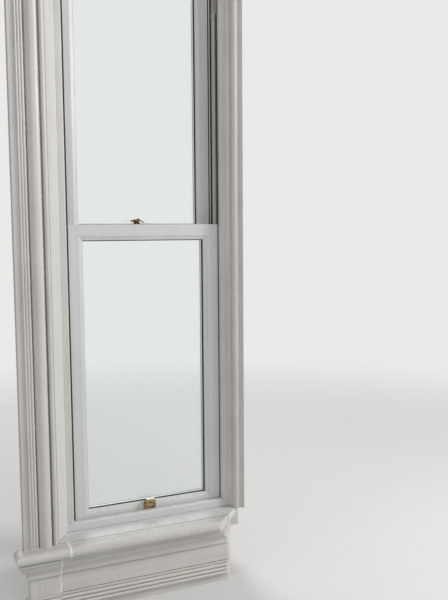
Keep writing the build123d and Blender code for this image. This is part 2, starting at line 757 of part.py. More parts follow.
# Bed mould: a fillet and an ogee under the nosing, returned round the plinth block.
def bed_points(face, sign):
    bottom = z_nosing - bed_height
    step = bed_projection - 4
    swell_top = z_nosing - bed_fillet
    swell_low = bottom + 7
    swell_middle = (swell_top + swell_low) / 2

    def place(out, level):
        return (face + sign * out, level)

    return make_face([
        Line(place(0, z_nosing), place(bed_projection, z_nosing)),
        Line(place(bed_projection, z_nosing), place(bed_projection, swell_top)),
        Line(place(bed_projection, swell_top), place(step, swell_top)),
        ThreePointArc(place(step, swell_top), place(step * 0.89, swell_middle + 9),
                      place(step * 0.56, swell_middle + 1)),
        ThreePointArc(place(step * 0.56, swell_middle + 1), place(step * 0.3, swell_middle - 8),
                      place(bed_foot, swell_low)),
        Line(place(bed_foot, swell_low), place(bed_foot, bottom)),
        Line(place(bed_foot, bottom), place(0, bottom)),
        Line(place(0, bottom), place(0, z_nosing))])


parts["bed_mould"] = mitred_right(across(bed_points(-apron_face, -1), x_arch, x_frame))


def returned(points, low, high, projection):
    """A moulding on the plinth block's front, mitred to a return on its left side."""
    reach = projection + 1
    corner = (x_plinth_left, -plinth_face)
    tip = (x_plinth_left - reach, -plinth_face - reach)
    front = across(points(-plinth_face, -1), x_plinth_left - reach, x_arch)
    front &= upright(face_of([corner, tip, (x_arch, tip[1]), (x_arch, corner[1])]), low, high)
    side = outward(points(x_plinth_left, -1), tip[1], y_wall)
    side &= upright(face_of([corner, tip, (tip[0], y_wall), (corner[0], y_wall)]), low, high)
    return front + side


parts["bed_mould_return"] = returned(bed_points, z_nosing - bed_height, z_nosing, bed_projection)


# Panel mould: a reeded strip across the apron and round the plinth block.
def reed_points(face, sign):
    back = face + sign * reed_back
    crest = back + sign * reed_rise
    level = reed_top - reed_fillet
    edges = [Line((face, reed_top), (back, reed_top)), Line((back, reed_top), (back, level))]
    for reed in range(reed_count):
        edges.append(ThreePointArc(
            (back, level), (crest, level - reed_width / 2), (back, level - reed_width)))
        level -= reed_width
    edges += [Line((back, level), (face, level)), Line((face, level), (face, reed_top))]
    return make_face(edges)


reed_top = z_nosing - reed_drop
reed_low = reed_top - reed_fillet - reed_count * reed_width
parts["apron_mould"] = [
    mitred_right(across(reed_points(-apron_face, -1), x_arch, x_frame)),
    returned(reed_points, reed_low, reed_top, reed_back + reed_rise)]

# Reveal linings: splayed boards from the staff beads out to the architrave.
soffit = across(face_of([
    (y_staff_front, z_trim), (y_wall, z_arch), (y_wall, z_arch + 2 * reveal_thick),
    (y_staff_front, z_arch + 2 * reveal_thick)]), x_arch - 2 * reveal_thick, x_frame + post_leg)
reveal_plan = face_of([
    (-x_trim, y_staff_front), (x_arch, y_wall), (x_arch - reveal_thick, y_wall),
    (-x_trim - reveal_thick, y_staff_front)])
parts["reveal_lining_left"] = upright(reveal_plan, sill_height, z_arch + reveal_thick) - soffit
parts["reveal_lining_head"] = mitred_right(across(face_of([
    (y_staff_front, z_trim), (y_wall, z_arch), (y_wall, z_arch + reveal_thick),
    (y_staff_front, z_trim + reveal_thick)]), x_arch - reveal_thick, x_frame))


# Architrave: a wide moulding with an outer step, three reeds, a torus and an inner bead.
def joined(place, corners):
    """Straight edges from corner to corner of the architrave's section."""
    return [Line(place(*a), place(*b)) for a, b in zip(corners, corners[1:])]


def architrave_edges(place):
    """The section's edges; place turns (distance from outer edge, projection) into a point."""
    edges = joined(place, [
        (0, 0), (0, step_rise - step_chamfer), (step_chamfer, step_rise), (step_width, step_rise),
        (step_width, arch_reed_base)])
    start = step_width
    for reed in range(arch_reed_count):
        end = start + arch_reed_width
        edges.append(ThreePointArc(
            place(start, arch_reed_base),
            place((start + end) / 2, arch_reed_base + arch_reed_rise), place(end, arch_reed_base)))
        start = end
    torus = start + quirk_width
    edges += joined(place, [
        (start, arch_reed_base), (start, quirk_floor), (torus, quirk_floor), (torus, torus_base)])
    torus_end = torus + torus_width
    edges.append(ThreePointArc(
        place(torus, torus_base), place(torus + torus_width * 5 / 9, torus_crest),
        place(torus_end, torus_drop)))
    bead = torus_end + inner_quirk
    edges += joined(place, [
        (torus_end, torus_drop), (torus_end, quirk_floor), (bead, quirk_floor), (bead, torus_base)])
    bead_end = bead + arch_bead_width
    edges.append(ThreePointArc(
        place(bead, torus_base), place((bead + bead_end) / 2, arch_bead_crest),
        place(bead_end, torus_base)))
    return edges + joined(place, [
        (bead_end, torus_base), (architrave_width, quirk_floor), (architrave_width, 0), (0, 0)])


z_arch_out = z_arch + architrave_width
side_section = make_face(architrave_edges(lambda w, p: (x_arch_out + w, y_wall - p)))
side_shape = face_of([
    (x_arch_out, sill_height), (x_arch_out, z_arch_out), (x_arch, z_arch), (x_arch, sill_height)])
parts["architrave_left"] = upright(side_section, sill_height, z_arch_out) & outward(
    side_shape, y_wall - torus_crest - architrave_clear, y_wall)
head_section = make_face(architrave_edges(lambda w, p: (y_wall - p, z_arch_out - w)))
head_outline = face_of([
    (x_arch_out, z_arch_out), (x_frame, z_arch_out), (x_frame, z_arch), (x_arch, z_arch)])
parts["architrave_head"] = mitred_right(across(head_section, x_arch_out, x_frame) & outward(
    head_outline, y_wall - torus_crest - architrave_clear, y_wall))

# Corner post: a triangular cover piece in the corner, with a roll down its splayed face.
def post_point(along_face, proud):
    """A point on the splayed face, given the distance along it and how far it stands out."""
    x = x_trim + (along_face - proud) / sqrt(2)
    y = y_staff_front - (along_face + proud) / sqrt(2)
    return (x, y)


post_face = post_leg * sqrt(2)
roll_half = 13.0
roll_rise = 11.0
middle = post_face / 2
fillet_width = 2.5
post_edges = [
    Line(post_point(0, 0), post_point(middle - roll_half - fillet_width, 0)),
    Line(post_point(middle - roll_half - fillet_width, 0), post_point(middle - roll_half - fillet_width, 2)),
    Line(post_point(middle - roll_half - fillet_width, 2), post_point(middle - roll_half, 2)),
    ThreePointArc(post_point(middle - roll_half, 2), post_point(middle, roll_rise),
                  post_point(middle + roll_half, 2)),
    Line(post_point(middle + roll_half, 2), post_point(middle + roll_half + fillet_width, 2)),
    Line(post_point(middle + roll_half + fillet_width, 2), post_point(middle + roll_half + fillet_width, 0)),
    Line(post_point(middle + roll_half + fillet_width, 0), post_point(post_face, 0)),
    Line(post_point(post_face, 0), (x_trim + post_leg, y_staff_front)),
    Line((x_trim + post_leg, y_staff_front), (x_trim, y_staff_front))]
parts["corner_post"] = upright(make_face(post_edges), sill_height, z_arch) - soffit

os.makedirs("parts", exist_ok=True)
for name, shape in parts.items():
    solids = [piece.solid() for piece in shape] if isinstance(shape, list) else list(shape.solids())
    whole = solids[0] if len(solids) == 1 else Compound(children=solids)
    whole.label = name
    export_step(whole, "parts/" + name + ".step")
    print(name, len(solids), round(sum(solid.volume for solid in solids) / 1000, 1), "cm3")
print(len(parts), "nodes")
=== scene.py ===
import math

import bmesh
import bpy
from mathutils import Matrix, Vector, noise


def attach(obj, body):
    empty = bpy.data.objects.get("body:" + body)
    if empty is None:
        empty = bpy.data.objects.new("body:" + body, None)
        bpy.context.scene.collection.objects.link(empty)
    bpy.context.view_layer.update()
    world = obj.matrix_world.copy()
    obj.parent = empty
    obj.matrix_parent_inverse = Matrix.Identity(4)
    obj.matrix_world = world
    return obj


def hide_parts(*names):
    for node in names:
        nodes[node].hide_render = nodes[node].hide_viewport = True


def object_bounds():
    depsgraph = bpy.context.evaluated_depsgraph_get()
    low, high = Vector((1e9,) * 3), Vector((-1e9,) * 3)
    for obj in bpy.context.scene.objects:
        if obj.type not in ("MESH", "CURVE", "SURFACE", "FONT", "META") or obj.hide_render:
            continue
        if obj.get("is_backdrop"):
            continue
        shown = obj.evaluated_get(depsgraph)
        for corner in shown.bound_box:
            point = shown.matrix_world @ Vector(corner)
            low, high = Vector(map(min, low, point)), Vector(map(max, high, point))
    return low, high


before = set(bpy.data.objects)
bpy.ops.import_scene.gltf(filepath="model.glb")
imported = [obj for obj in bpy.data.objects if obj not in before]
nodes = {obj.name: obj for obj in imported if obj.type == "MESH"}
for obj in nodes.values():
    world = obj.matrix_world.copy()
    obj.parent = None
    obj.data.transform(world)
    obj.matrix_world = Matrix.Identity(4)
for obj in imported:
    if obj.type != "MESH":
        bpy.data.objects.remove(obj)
cad_low, cad_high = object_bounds()


# Sill: one solid softwood piece that falls outward, with a drip under its nose. Inside it has
# the same satin paint as the rest; outside the paint is chalky and stained by the weather.
class Flow:
    """A value or colour on its way through one material's nodes."""

    def __init__(self, tree, socket):
        self.tree = tree
        self.socket = socket

    def node(self, kind, settings, *values, out=0, **named):
        """One node: its settings first, then its sockets by order or by name."""
        node = self.tree.nodes.new(kind)
        for key, value in settings.items():
            setattr(node, key, value)
        sockets = [socket for socket in node.inputs if socket.enabled]
        pairs = list(zip(sockets, values))
        for name, value in named.items():
            wanted = name.replace("_", " ")
            pairs.append((next(s for s in sockets if s.name == wanted), value))
        for socket, value in pairs:
            if isinstance(value, Flow):
                self.tree.links.new(value.socket, socket)
            elif socket.type == "RGBA":
                socket.default_value = (*value[:3], 1.0)
            else:
                socket.default_value = value
        outputs = [socket for socket in node.outputs if socket.enabled]
        if isinstance(out, int):
            return Flow(self.tree, outputs[out])
        return Flow(self.tree, next(s for s in outputs if s.name == out))

    def math(self, operation, *values):
        return self.node("ShaderNodeMath", {"operation": operation}, *values)

    def __add__(self, other):
        return self.math("ADD", self, other)

    def __sub__(self, other):
        return self.math("SUBTRACT", self, other)

    def __rsub__(self, other):
        return self.math("SUBTRACT", other, self)

    def __mul__(self, other):
        return self.math("MULTIPLY", self, other)

    def __abs__(self):
        return self.math("ABSOLUTE", self)

    def clip(self):
        return self.math("MINIMUM", self.math("MAXIMUM", self, 0.0), 1.0)

    def ramp(self, low, high):
        """0 below low, 1 above high and smooth between; it falls where low is above high."""
        if low > high:
            return 1.0 - self.ramp(high, low)
        smooth = {"interpolation_type": "SMOOTHSTEP"}
        return self.node("ShaderNodeMapRange", smooth, self, low, high)

    def axes(self):
        """The three numbers of a vector."""
        first = self.node("ShaderNodeSeparateXYZ", {}, self)
        return [Flow(self.tree, socket) for socket in first.socket.node.outputs]

    def scaled(self, x, y, z):
        return self.node("ShaderNodeVectorMath", {"operation": "MULTIPLY"}, self, (x, y, z))

    def along(self, axis, coarse, fine):
        """Coordinates for streaks: coarse along an axis and fine across it."""
        scale = [fine, fine, fine]
        scale["XYZ".index(axis)] = coarse
        return self.scaled(*scale)

    def noise(self, scale=1.0, detail=3.0, roughness=0.5):
        return self.node("ShaderNodeTexNoise", {}, Vector=self, Scale=scale, Detail=detail,
                         Roughness=roughness)

    def mix(self, a, b):
        """A colour between a and b, by this value."""
        return self.node("ShaderNodeMix", {"data_type": "RGBA"}, self, a, b)

    __radd__ = __add__
    __rmul__ = __mul__


def new_finish(name, **constants):
    """A new material, its Principled shader and the coordinates of the piece in metres."""
    material = bpy.data.materials.new(name)
    material.use_nodes = True
    shader = material.node_tree.nodes["Principled BSDF"]
    for socket, value in constants.items():
        shader.inputs[socket.replace("_", " ")].default_value = value
    start = Flow(material.node_tree, None)
    return material, shader, start.node("ShaderNodeTexCoord", {}, out="Object")


def drive(shader, height=None, depth=0.0002, strength=0.5, **flows):
    """Links what changes over the surface, and turns a height into a bump."""
    if height is not None:
        flows["Normal"] = height.node("ShaderNodeBump", {}, strength, depth, Height=height)
    for socket, flow in flows.items():
        flow.tree.links.new(flow.socket, shader.inputs[socket.replace("_", " ")])


NEW_PAINT = ((0.66, 0.662, 0.66), (0.605, 0.605, 0.60))
OLD_PAINT = ((0.63, 0.612, 0.58), (0.55, 0.527, 0.49))
DUST = (0.42, 0.39, 0.35)
GRIME_AND_SHADE = (0.20, 0.185, 0.16)
TIMBER = (0.60, 0.485, 0.355)
TIMBER_DARK = (0.46, 0.345, 0.23)
SURFACE_DEPTH = 0.00022
FACES_SO = (0.66, 0.70)


def paint(name, axis, bare=(), coats=OLD_PAINT, brushed=1.0, dusty=0.3, weather=None, joints=(),
          shade_and_soil=0.0, chipped=0.0):
    """Satin paint laid off with a brush along an axis, over softwood that shows where a face
    that looks in one of the bare directions was never painted. Weather is the stretch of Y over
    which the room's clean paint turns into the grimy paint outside. Shade and soil darkens the
    paint in patches, as painted shade with some grime. Grime and shade lines darken cracks with
    grime, and ledges and hollows with painted shade; each is the number of an axis, its place on
    that axis and its width."""
    material, shader, place = new_finish(name, IOR=1.5)
    x, y, z = place.axes()
    normal = place.node("ShaderNodeNewGeometry", {}, out="Normal")
    looks_up = normal.axes()[2]
    hairs = place.along(axis, 9.0, 700.0).noise(1.0, 2.0)
    laps = place.along(axis, 1.4, 55.0).noise(1.0, 3.0)
    clouds = place.noise(8.0, 4.0)
    colour = (laps * 0.6 + clouds * 0.4).ramp(0.36, 0.70).mix(*coats)
    dust = looks_up.ramp(0.6, 0.98) * place.noise(38.0, 5.0, 0.65).ramp(0.40, 0.78) * dusty
    specks = place.noise(520.0, 2.0, 0.7).ramp(0.70, 0.76) * place.noise(14.0, 2.0).ramp(0.5, 0.7)
    dirt_and_shade = dust + specks * 0.45
    # Shade and soil darkens the paint in patches: painted shade, with some grime.
    if shade_and_soil:
        dirt_and_shade = dirt_and_shade + clouds.ramp(0.2, 0.6) * shade_and_soil
    dirt_and_shade = dirt_and_shade.clip()
    roughness = laps * 0.14 + dust * 0.7 + 0.33
    if weather:
        out_of_doors = y.ramp(*weather)
        runs = place.scaled(75.0, 75.0, 2.2).noise(1.0, 5.0, 0.6).ramp(0.46, 0.86)
        stains = place.noise(9.0, 6.0, 0.68).ramp(0.42, 0.80)
        ledges = looks_up.ramp(0.5, 0.9)
        low_down = z.ramp(0.30, 0.03) * 0.50 + 0.22
        streaks = runs * (1.0 - ledges) * low_down * 0.65 + stains * ledges * 0.25
        dirt_and_shade = (dirt_and_shade + out_of_doors * streaks).clip()
        roughness = roughness + out_of_doors * 0.28
    colour = dirt_and_shade.mix(colour, DUST if not weather else GRIME_AND_SHADE)
    # Dark lines: grime in cracks, and painted shade under ledges and in the hollows of mouldings.
    for number, level, width in joints:
        off = abs((x, y, z)[number] - level)
        dark_line = off.ramp(width, width * 0.3) * place.noise(60.0, 3.0).ramp(0.15, 0.45)
        colour = (dark_line * 0.85).mix(colour, GRIME_AND_SHADE)
    height = hairs * (0.35 * brushed) + laps * (0.9 * brushed) + clouds * 0.5
    if chipped:
        lost = place.noise(130.0, 4.0).ramp(0.59, 0.68) * place.noise(11.0, 2.0).ramp(0.52, 0.64)
        colour = (lost * chipped).mix(colour, DUST)
        height = height - lost * 1.6
    raw = None
    for direction in bare:
        along = normal.node("ShaderNodeVectorMath", {"operation": "DOT_PRODUCT"}, normal,
                            direction, out="Value")
        facing = along.ramp(*FACES_SO)
        raw = facing if raw is None else (raw + facing).clip()
    if raw is not None:
        grain = place.along(axis, 2.2, 46.0).noise(1.0, 5.0, 0.6)
        rings = abs((grain * 9.0).math("SINE"))
        pores = place.along(axis, 30.0, 1500.0).noise(1.0, 2.0)
        wood = (rings * 0.55 + pores * 0.35).ramp(0.15, 0.95).mix(TIMBER, TIMBER_DARK)
        colour = raw.mix(colour, wood)
        roughness = roughness + raw * 0.3
        height = height + raw * (rings * 0.5 + pores * 0.5)
    drive(shader, height=height, depth=SURFACE_DEPTH, Base_Color=colour, Roughness=roughness)
    return material


MERGE = 0.00001
PLANAR = math.radians(0.5)
SHARP_EDGE = math.radians(32)


def dress(names, material, arris=0.0008, segments=2):
    """Gives CAD nodes their material, and takes the sharp edges off with a small round."""
    for name in names.split():
        piece = nodes[name]
        piece.data.materials.clear()
        piece.data.materials.append(material)
        if not arris:
            continue
        piece.modifiers.new("weld", "WELD").merge_threshold = MERGE
        flat = piece.modifiers.new("planes", "DECIMATE")
        flat.decimate_type = "DISSOLVE"
        flat.angle_limit = PLANAR
        edge = piece.modifiers.new("arris", "BEVEL")
        edge.width = arris
        edge.segments = segments
        edge.limit_method = "ANGLE"
        edge.angle_limit = SHARP_EDGE
        piece.modifiers.new("normals", "WEIGHTED_NORMAL").keep_sharp = True


LEFT, RIGHT = (-1, 0, 0), (1, 0, 0)
ROOM, OUT = (0, -1, 0), (0, 1, 0)
UP = (0, 0, 1)
BOARD_ARRIS = 0.0012
SILL_WEATHER = (0.055, 0.10)
dress("sill", paint("sill_paint", "X", (LEFT, RIGHT), dusty=0.5, weather=SILL_WEATHER),
      BOARD_ARRIS)

# Jambs and head: planed softwood boards that the sashes slide between, housed and screwed
# together. Their inner faces are painted. Those towards the wall and the room are bare.
CRISP_ARRIS = 0.0005
# In the channel the paint is darkened in patches as painted shade, with some grime.
CHANNEL = {"weather": (0.055, 0.12), "shade_and_soil": 0.45}
dress("jamb_left", paint("jamb_left_paint", "Z", (LEFT, ROOM), **CHANNEL), CRISP_ARRIS)
dress("jamb_right", paint("jamb_right_paint", "Z", (RIGHT, ROOM), **CHANNEL), CRISP_ARRIS)
dress("head", paint("head_paint", "X", (UP, LEFT, RIGHT, ROOM), **CHANNEL), CRISP_ARRIS)

# Outer linings: boards nailed to the outside of the jambs and head, which stop the upper sash.
# Rain and soot have dulled their paint, most of all just above the sill.
SOOTED = {"weather": (0.10, 0.12)}
dress("outer_lining_left", paint("outer_left_paint", "Z", (LEFT,), **SOOTED), BOARD_ARRIS)
dress("outer_lining_right", paint("outer_right_paint", "Z", (RIGHT,), **SOOTED), BOARD_ARRIS)
dress("outer_lining_head", paint("outer_head_paint", "X", (UP, LEFT, RIGHT), **SOOTED),
      BOARD_ARRIS)

# Inner linings: boards on the room side of the jambs and head, behind the trim. They are planed
# softwood, painted towards the room and the opening, and bare at the back and by the wall.
dress("inner_lining_left", paint("inner_left_paint", "Z", (LEFT, OUT, UP)))
dress("inner_lining_right", paint("inner_right_paint", "Z", (RIGHT, OUT, UP)))
dress("inner_lining_head", paint("inner_head_paint", "X", (LEFT, RIGHT, OUT, UP)))

# Staff beads, bottom bead and parting beads: slim mouldings pinned round the opening, which
# guide the sashes. They are painted in place, so brush marks run along each of them.
dress("staff_bead_left staff_bead_right", paint("staff_paint", "Z", (OUT,)))
dress("staff_bead_head", paint("staff_head_paint", "X", (OUT,)))
BOARD_TOP = 0.072
BOARD_SEAM = BOARD_TOP + 0.0002
dress("bottom_bead", paint("bottom_bead_paint", "X", (OUT,), NEW_PAINT, dusty=0.45,
                           joints=((2, BOARD_SEAM, 0.0012),)))
dress("parting_bead_left parting_bead_right", paint("parting_paint", "Z", shade_and_soil=0.3), 0.0006)


# Brush seals: black woven pile set in the backs of the staff beads, in both faces of the
# parting beads and in the lower meeting rail. Each is a thin backing with rows of small tufts.
def mesh_piece(name, body, materials, verts, faces, replaced=(), marks=None, smooth=False):
    """A new piece of the object, which rides on a body and takes the given materials."""
    mesh = bpy.data.meshes.new(name)
    mesh.from_pydata(verts, [], faces)
    for material in materials:
        mesh.materials.append(material)
    if marks:
        mesh.polygons.foreach_set("material_index", marks)
    work = bmesh.new()
    work.from_mesh(mesh)
    bmesh.ops.recalc_face_normals(work, faces=work.faces)
    work.to_mesh(mesh)
    work.free()
    if smooth:
        mesh.shade_smooth()
    piece = bpy.data.objects.new(name, mesh)
    bpy.context.scene.collection.objects.link(piece)
    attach(piece, body)
    if replaced:
        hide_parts(*replaced)
    return piece


def solids_of(name):
    """The low and high corner of each separate solid of a CAD node, in metres."""
    work = bmesh.new()
    work.from_mesh(nodes[name].data)
    work.transform(nodes[name].matrix_world)
    bmesh.ops.remove_doubles(work, verts=work.verts, dist=1e-6)
    found = []
    left = set(work.verts)
    while left:
        waiting = [left.pop()]
        group = []
        while waiting:
            vert = waiting.pop()
            group.append(vert.co.copy())
            near = {edge.other_vert(vert) for edge in vert.link_edges} & left
            left -= near
            waiting += near
        found.append(([min(p[i] for p in group) for i in range(3)],
                      [max(p[i] for p in group) for i in range(3)]))
    work.free()
    return sorted(found)


BOX_FACES = ((0, 1, 3, 2), (4, 6, 7, 5), (0, 4, 5, 1), (2, 3, 7, 6), (0, 2, 6, 4), (1, 5, 7, 3))


def box_points(low, high):
    return [(x, y, z) for x in (low[0], high[0]) for y in (low[1], high[1])
            for z in (low[2], high[2])]


TUFT_STEP = 0.0022
TUFT_WIDTH = 0.0015
TUFT_TWIST = 0.25
ROW_STEP = 0.0012
BACKING = 0.25
pile, shader, place = new_finish("black_pile", Roughness=0.95)
drive(shader, Base_Color=place.noise(900.0, 2.0).mix((0.012, 0.012, 0.014), (0.045, 0.043, 0.042)))


def brush(name, body, run, stand):
    """Pile in place of each strip of a CAD node: it runs along one axis and its tufts stand
    along another."""
    verts = []
    faces = []
    side = 3 - run - stand
    for low, high in solids_of(name):
        low = Vector(low)
        size = Vector(high) - low
        rows = max(2, int(size[side] / ROW_STEP))
        for tuft in range(int(size[run] / TUFT_STEP)):
            for row in range(rows):
                seed = Vector((tuft * 0.37, row * 1.7, low.x * 50 + low.y * 90))
                lean = noise.noise(seed) * 0.5
                reach = 0.86 + 0.14 * noise.noise(seed * 1.9)
                middle = low.copy()
                middle[run] += min(max(TUFT_STEP * (tuft + 0.5 + lean), TUFT_WIDTH / 2),
                                   size[run] - TUFT_WIDTH / 2)
                middle[side] += size[side] * (row + 0.5) / rows
                root = len(verts)
                for share, half in ((0.0, TUFT_WIDTH / 2), (BACKING, TUFT_WIDTH / 2),
                                    (reach, TUFT_WIDTH / 7)):
                    for sign in (-1, 1):
                        point = middle.copy()
                        point[stand] += size[stand] * share
                        point[run] += sign * half
                        point[side] += sign * TUFT_TWIST * half
                        verts.append(point)
                faces += [(root, root + 1, root + 3, root + 2),
                          (root + 2, root + 3, root + 5, root + 4)]
        top = low + size
        top[stand] = low[stand] + BACKING * size[stand]
        root = len(verts)
        verts += box_points(low, top)
        faces += [tuple(root + i for i in face) for face in BOX_FACES]
    return mesh_piece("pile_" + name, body, [pile], verts, faces, (name,))


brush("staff_bead_seals", "frame", 2, 1)
brush("parting_bead_seals", "frame", 2, 1)
brush("meeting_rail_seal", "lower_sash", 0, 1)

# Spiral balances: a plastic tube on each jamb for each sash, with a wound spring inside and a
# twisted steel rod that is hooked to a foot at the bottom of the sash's stile.
# The tubes' greys are painted shade: the plastic is given the dim tone it has deep in the channel.
plastic, shader, place = new_finish("balance_plastic", IOR=1.5)
scuffs = place.along("Z", 4.0, 500.0).noise(1.0, 3.0).ramp(0.58, 0.72)
drive(shader, Base_Color=(scuffs * 0.5).mix((0.40, 0.40, 0.39), (0.28, 0.28, 0.27)),
      Roughness=scuffs * 0.3 + 0.28)
dress("balance_tubes", plastic, 0.0004)

steel, shader, place = new_finish("drawn_steel", Metallic=1.0)
wiped = place.along("Z", 12.0, 900.0).noise(1.0, 3.0)
drive(shader, Base_Color=wiped.ramp(0.3, 0.75).mix((0.50, 0.50, 0.51), (0.34, 0.33, 0.32)),
      Roughness=wiped * 0.35 + 0.18)
ROD_HALF = 0.0030
ROD_FLAT = 0.0008
ROD_EDGE = 0.0005
ROD_PITCH = 0.048
ROD_STEPS = 16
ROD_IN_FOOT = 0.003
FOOT_HEIGHT = 0.040


def twisted_rods(name, body):
    """Each rod is a flat steel strip wound along its length, above the block of its foot."""
    verts = []
    faces = []
    for low, high in solids_of(name):
        on_left = low[0] < 0
        axis_x = low[0] + ROD_HALF + ROD_EDGE if on_left else high[0] - ROD_HALF - ROD_EDGE
        axis_y = (low[1] + high[1]) / 2
        foot_top = low[2] + FOOT_HEIGHT
        steps = int((high[2] - foot_top) / ROD_PITCH * ROD_STEPS)
        root = len(verts)
        for step in range(steps + 1):
            turn = 2 * math.pi * step / ROD_STEPS
            level = foot_top - ROD_IN_FOOT + (high[2] - foot_top + ROD_IN_FOOT) * step / steps
            for u, v in ((-ROD_HALF, -ROD_FLAT), (ROD_HALF, -ROD_FLAT),
                         (ROD_HALF, ROD_FLAT), (-ROD_HALF, ROD_FLAT)):
                verts.append((axis_x + u * math.cos(turn) - v * math.sin(turn),
                              axis_y + u * math.sin(turn) + v * math.cos(turn), level))
        for step in range(steps):
            for i in range(4):
                a, b = root + 4 * step + i, root + 4 * step + (i + 1) % 4
                faces.append((a, b, b + 4, a + 4))
        top = root + 4 * steps
        faces += [(root + 3, root + 2, root + 1, root), (top, top + 1, top + 2, top + 3)]
        root = len(verts)
        verts += box_points(low, (high[0], high[1], foot_top))
        faces += [tuple(root + i for i in face) for face in BOX_FACES]
    return mesh_piece("twisted_" + name, body, [steel], verts, faces, (name,))


twisted_rods("lower_balance_rods", "lower_sash")
twisted_rods("upper_balance_rods", "upper_sash")

# Screws of the balances: raised steel heads with one slot, turned in by hand, so that no two
# slots stand at the same angle.
HEAD_STEPS = 20
SLOT_HALF = 0.16
SLOT_FLOOR = 0.55
HEAD_RINGS = ((0.72, 0.10), (0.92, 0.06), (1.0, 0.0))


def slotted_screws(name, body, materials, places, replaced):
    """Each place is a head's middle, the way that its shank goes, its radius, its depth, the
    turn of its slot and the number of its material."""
    verts = []
    faces = []
    marks = []
    for middle, direction, radius, depth, turn, mark in places:
        facing = Vector(direction).to_track_quat("-Z", "Y").to_matrix()
        facing = facing @ Matrix.Rotation(turn, 3, "Z")
        half = SLOT_HALF * radius
        start = math.asin(half / radius)
        count = HEAD_STEPS + 1
        local = []
        quads = []
        for side in (1, -1):
            root = len(verts) + len(local)
            rim = []
            for step in range(count):
                angle = start + (math.pi - 2 * start) * step / HEAD_STEPS
                rim.append((radius * math.cos(angle), radius * math.sin(angle)))
            rings = [(share, rise * radius) for share, rise in HEAD_RINGS] + [(1.0, -depth)]
            for share, level in rings:
                local += [(u * share, side * max(v * share, half), level) for u, v in rim]
            for ring in range(len(HEAD_RINGS)):
                for i in range(HEAD_STEPS):
                    a = root + ring * count + i
                    quads.append((a, a + count, a + count + 1, a + 1))
            quads.append(tuple(root + i for i in range(count)))
            quads.append(tuple(root + 3 * count + i for i in range(count)))
            a = len(verts) + len(local)
            local += [(rim[0][0], side * half, -SLOT_FLOOR * depth),
                      (rim[-1][0], side * half, -SLOT_FLOOR * depth)]
            quads.append((root, root + count, root + 2 * count, a, a + 1,
                          root + 3 * count - 1, root + 2 * count - 1, root + count - 1))
        first = len(verts) + 4 * count
        second = first + 4 * count + 2
        quads.append((first, first + 1, second + 1, second))
        verts += [Vector(middle) + facing @ Vector(point) for point in local]
        faces += quads
        marks += [mark] * len(quads)
    return mesh_piece(name, body, materials, verts, faces, replaced, marks)


def across(low, high, axis):
    """Half the width of a box that is round along an axis."""
    return (high[(axis + 1) % 3] - low[(axis + 1) % 3]) / 2


FIXING_DEPTH = 0.0010
places = []
for number, (low, high) in enumerate(solids_of("balance_screws")):
    inward = low[0] if low[0] > 0 else high[0]
    places.append(((inward, (low[1] + high[1]) / 2, (low[2] + high[2]) / 2),
                   (1 if low[0] > 0 else -1, 0, 0), across(low, high, 0), FIXING_DEPTH,
                   0.4 + 1.3 * number, 0))
slotted_screws("balance_screw_heads", "frame", [steel], places, ("balance_screws",))

# Sashes: stiles and rails tenoned together, machined smooth and painted very evenly, so they
# are crisper than the older trim round them. Their outer faces have weathered.
LOWER_FACE, UPPER_FACE = 0.0, 0.055
SASH_WEATHER = (0.038, 0.044)
SASH_ARRIS = 0.0009
for which, face, rails in (("lower", LOWER_FACE, "lower_bottom_rail lower_meeting_rail"),
                           ("upper", UPPER_FACE, "upper_top_rail upper_meeting_rail")):
    smooth = {"coats": NEW_PAINT, "brushed": 0.5,
              "weather": tuple(face + depth for depth in SASH_WEATHER)}
    dress(which + "_stile_left " + which + "_stile_right",
          paint(which + "_stile_paint", "Z", **smooth), SASH_ARRIS)
    dress(rails, paint(which + "_rail_paint", "X", **smooth), SASH_ARRIS)
    dress(which + "_glazing_beads",
          paint(which + "_bead_paint", "Z", coats=NEW_PAINT, brushed=0.4), CRISP_ARRIS)

# Sealed units: two clear panes with a perforated aluminium spacer between them, bedded on black
# rubber gaskets. The spacer has two rows of pinholes, and black sealant holds it to both panes.
glass, shader, place = new_finish("clear_glass", Base_Color=(0.97, 0.99, 0.98, 1.0),
                                  Roughness=0.0, IOR=1.5, Transmission_Weight=1.0)
lamp_ray = place.node("ShaderNodeLightPath", {}, out="Is Shadow Ray")
clear = place.node("ShaderNodeBsdfTransparent", {}, (0.93, 0.96, 0.95))
pane = place.node("ShaderNodeMixShader", {}, lamp_ray, Flow(glass.node_tree, shader.outputs[0]),
                  clear)
glass.node_tree.links.new(pane.socket, glass.node_tree.nodes["Material Output"].inputs["Surface"])
dress("lower_panes upper_panes", glass, 0)

rubber, shader, place = new_finish("gasket_rubber", IOR=1.5)
bloom = place.noise(70.0, 4.0)
drive(shader, Base_Color=bloom.ramp(0.4, 0.8).mix((0.012, 0.012, 0.013), (0.035, 0.034, 0.033)),
      Roughness=bloom * 0.3 + 0.4)
dress("lower_gaskets upper_gaskets", rubber, 0)

